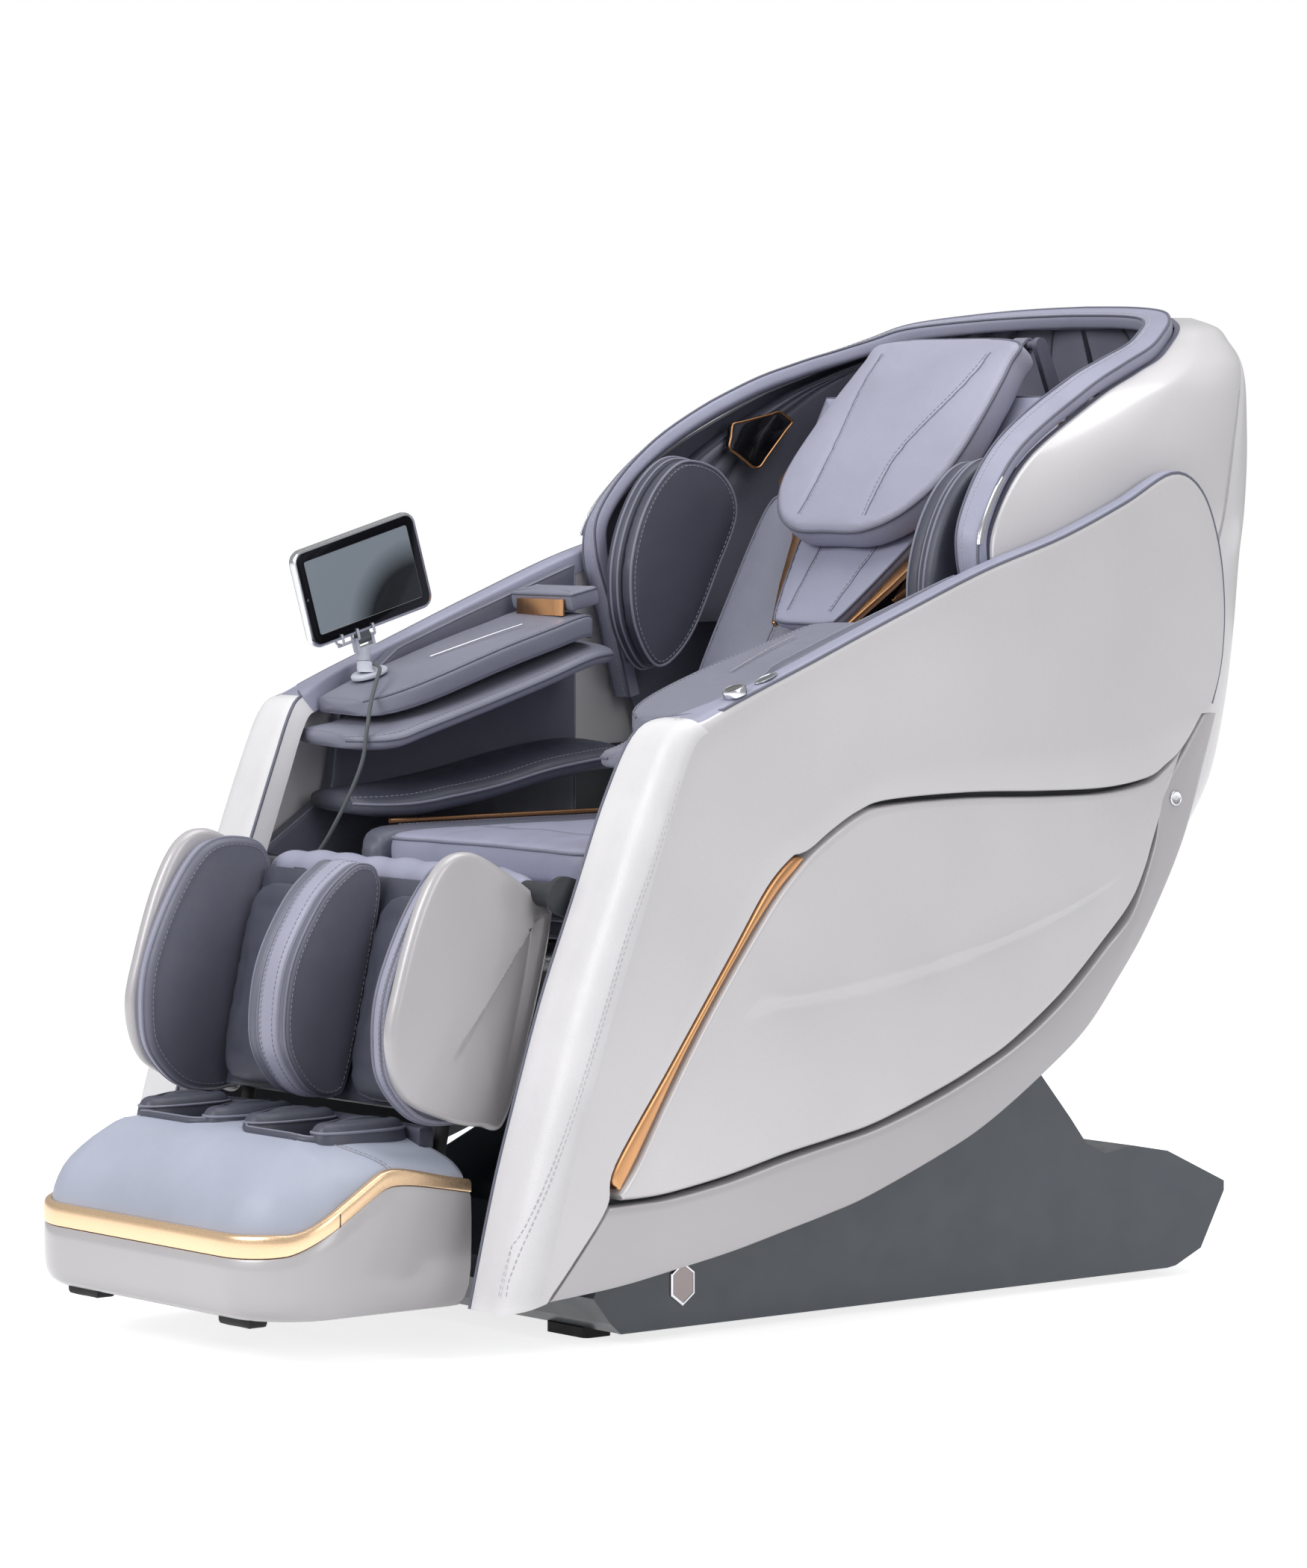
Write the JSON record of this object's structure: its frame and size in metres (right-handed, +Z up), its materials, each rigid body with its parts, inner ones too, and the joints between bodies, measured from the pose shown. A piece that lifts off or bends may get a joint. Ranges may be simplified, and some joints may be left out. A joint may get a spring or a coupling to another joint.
{
  "type": "massage chair",
  "caption": "Reclining massage chair with a sliding base, reclining padded back and hood, lifting calf rest with sliding footrest, arm pads, head pillow and a tablet on a swivel.",
  "frame": {"origin": "on the floor, under the middle of the chair's own box", "axes": "+X to the side of the arm that has the dial, -Y the way the chair faces, +Z up"},
  "size_m": [0.822, 1.51, 1.1866],
  "materials": {
    "pearl": "gloss",
    "pearl_rear": "gloss",
    "leather_light": "satin",
    "leather_pale": "satin",
    "leather_dark": "satin",
    "leather_mid": "satin",
    "copper": "satin",
    "rose_gold": "satin",
    "base_grey": "satin",
    "badge": "satin",
    "rubber": "matte",
    "frame_steel": "satin",
    "bright_steel": "satin",
    "black_plastic": "matte",
    "gloss_black": "gloss",
    "dark_plastic": "satin",
    "cloth": "matte",
    "grey_plastic": "satin",
    "cap": "satin",
    "screen": "gloss",
    "lead": "satin"
  },
  "bodies": {
    "base": {"base_cover": "base_grey", "base_frame": "frame_steel", "slide_rails": "bright_steel", "base_feet": "rubber", "badge_plates": "badge", "power_box": "black_plastic", "slide_screw_motor": "bright_steel"},
    "switch": {"power_switch": "gloss_black"},
    "wheels": {"transport_axle": "rubber"},
    "carriage": {"carriage_frame": "frame_steel"},
    "seat": {"seat_frame": "frame_steel", "seat_cushion": "leather_light", "seat_bolsters": "leather_mid", "seat_front_layers": "leather_light", "control_box": "black_plastic", "air_pump": "dark_plastic", "arm_shells": "pearl", "side_carriers": "dark_plastic", "leaf_panels": "pearl", "skirt_panels": "pearl_rear", "copper_strips": "copper", "screw_caps": "cap", "arm_linings": "leather_dark", "arm_trays": "leather_light", "arm_flap_pads": "leather_dark", "hand_pads": "leather_dark", "tablet_stand": "grey_plastic", "tablet_lead": "lead", "leg_actuator_tube": "bright_steel"},
    "tilt_tube": {"tilt_actuator_tube": "bright_steel"},
    "tilt_rod": {"tilt_actuator_rod": "bright_steel"},
    "recline_tube": {"recline_actuator_tube": "bright_steel"},
    "recline_rod": {"recline_actuator_rod": "bright_steel"},
    "backrest": {"back_frame": "frame_steel", "track_rails": "bright_steel", "hood_sides": "pearl", "back_shell": "pearl_rear", "hood_rim": "leather_light", "hood_lining": "leather_mid", "back_pads": "leather_mid", "back_cloth": "cloth", "back_chevrons": "copper", "neck_panel": "leather_light", "shoulder_pads": "leather_dark", "speaker_panels": "gloss_black"},
    "pillow": {"head_pillow": "leather_pale"},
    "massage_unit": {"massage_carriage": "frame_steel"},
    "kneader": {"kneading_arms": "dark_plastic"},
    "leg_rest": {"leg_frame": "frame_steel", "calf_shells": "pearl", "calf_pads": "leather_dark", "leg_divider": "leather_mid"},
    "leg_rod": {"leg_actuator_rod": "bright_steel"},
    "footrest": {"foot_shell": "pearl_rear", "foot_band": "rose_gold", "foot_pads": "leather_light"},
    "foot_roller": {"foot_rollers": "rubber"},
    "dial": {"arm_dial": "cap"},
    "yoke": {"tablet_yoke": "dark_plastic"},
    "tablet": {"tablet": "screen"}
  },
  "joints": [
    {"name": "seat_slide", "type": "slide", "parent": "base", "child": "carriage", "axis": [0, -1, 0], "range_m": [0, 0.12]},
    {"name": "body_tilt", "type": "hinge", "parent": "carriage", "child": "seat", "pos_m": [0, 0.178, 0.332], "axis": [-1, 0, 0], "range_deg": [0, 10]},
    {"name": "tilt_actuator_swing", "type": "hinge", "parent": "carriage", "child": "tilt_tube", "pos_m": [0.09, -0.03, 0.13], "axis": [-1, 0, 0], "range_deg": [0, 7.6]},
    {"name": "tilt_actuator_stroke", "type": "slide", "parent": "tilt_tube", "child": "tilt_rod", "axis": [0, -0.5169, 0.8561], "range_m": [0, 0.0484]},
    {"name": "back_recline", "type": "hinge", "parent": "seat", "child": "backrest", "pos_m": [0, 0.105, 0.41], "axis": [-1, 0, 0], "range_deg": [0, 25]},
    {"name": "recline_actuator_swing", "type": "hinge", "parent": "seat", "child": "recline_tube", "pos_m": [-0.09, -0.15, 0.33], "axis": [-1, 0, 0], "range_deg": [0, 3.2]},
    {"name": "recline_actuator_stroke", "type": "slide", "parent": "recline_tube", "child": "recline_rod", "axis": [0, 0.995, -0.0995], "range_m": [-0.05, 0]},
    {"name": "legrest_lift", "type": "hinge", "parent": "seat", "child": "leg_rest", "pos_m": [0, -0.388, 0.515], "axis": [-1, 0, 0], "range_deg": [0, 80]},
    {"name": "leg_actuator_stroke", "type": "slide", "parent": "seat", "child": "leg_rod", "axis": [0, -1, 0], "range_m": [0, 0.142]},
    {"name": "foot_extend", "type": "slide", "parent": "leg_rest", "child": "footrest", "axis": [0, -0.225, -0.9744], "range_m": [0, 0.13]},
    {"name": "foot_roller_spin", "type": "hinge", "parent": "footrest", "child": "foot_roller", "pos_m": [0, -0.56, 0.106], "axis": [1, 0, 0], "continuous": true},
    {"name": "massage_travel", "type": "slide", "parent": "backrest", "child": "massage_unit", "axis": [0, 0.5, 0.866], "range_m": [0, 0.3]},
    {"name": "kneading_turn", "type": "hinge", "parent": "massage_unit", "child": "kneader", "pos_m": [0, 0.35309, 0.68796], "axis": [1, 0, 0], "continuous": true},
    {"name": "pillow_flip", "type": "hinge", "parent": "backrest", "child": "pillow", "pos_m": [0, 0.514, 1.138], "axis": [-1, 0, 0], "range_deg": [0, 100]},
    {"name": "dial_turn", "type": "hinge", "parent": "seat", "child": "dial", "pos_m": [0.3955, -0.214, 0.7374], "axis": [0, -0.3551, 0.9348], "continuous": true},
    {"name": "tablet_swivel", "type": "hinge", "parent": "seat", "child": "yoke", "pos_m": [-0.342, -0.19005, 0.76], "axis": [0, 0, 1], "range_deg": [-60, 30]},
    {"name": "tablet_tilt", "type": "hinge", "parent": "yoke", "child": "tablet", "pos_m": [-0.342, -0.19005, 0.78002], "axis": [0, 0.9613, 0.2756], "range_deg": [-20, 25]},
    {"name": "power_rocker", "type": "hinge", "parent": "base", "child": "switch", "pos_m": [0.024, 0.597, 0.07], "axis": [1, 0, 0], "range_deg": [0, 14]},
    {"name": "wheel_roll", "type": "hinge", "parent": "base", "child": "wheels", "pos_m": [0, 0.56, 0.036], "axis": [1, 0, 0], "continuous": true}
  ],
  "couplings": [
    {"joint": "seat_slide", "follows": "back_recline", "m_per_rad": 0.275},
    {"joint": "tilt_actuator_swing", "follows": "body_tilt", "ratio": 0.75},
    {"joint": "tilt_actuator_stroke", "follows": "body_tilt", "m_per_rad": 0.2767},
    {"joint": "recline_actuator_swing", "follows": "back_recline", "ratio": 0.1244},
    {"joint": "recline_actuator_stroke", "follows": "back_recline", "m_per_rad": -0.1128},
    {"joint": "leg_actuator_stroke", "follows": "legrest_lift", "m_per_rad": 0.1013},
    {"joint": "foot_extend", "follows": "legrest_lift", "m_per_rad": 0.093}
  ]
}
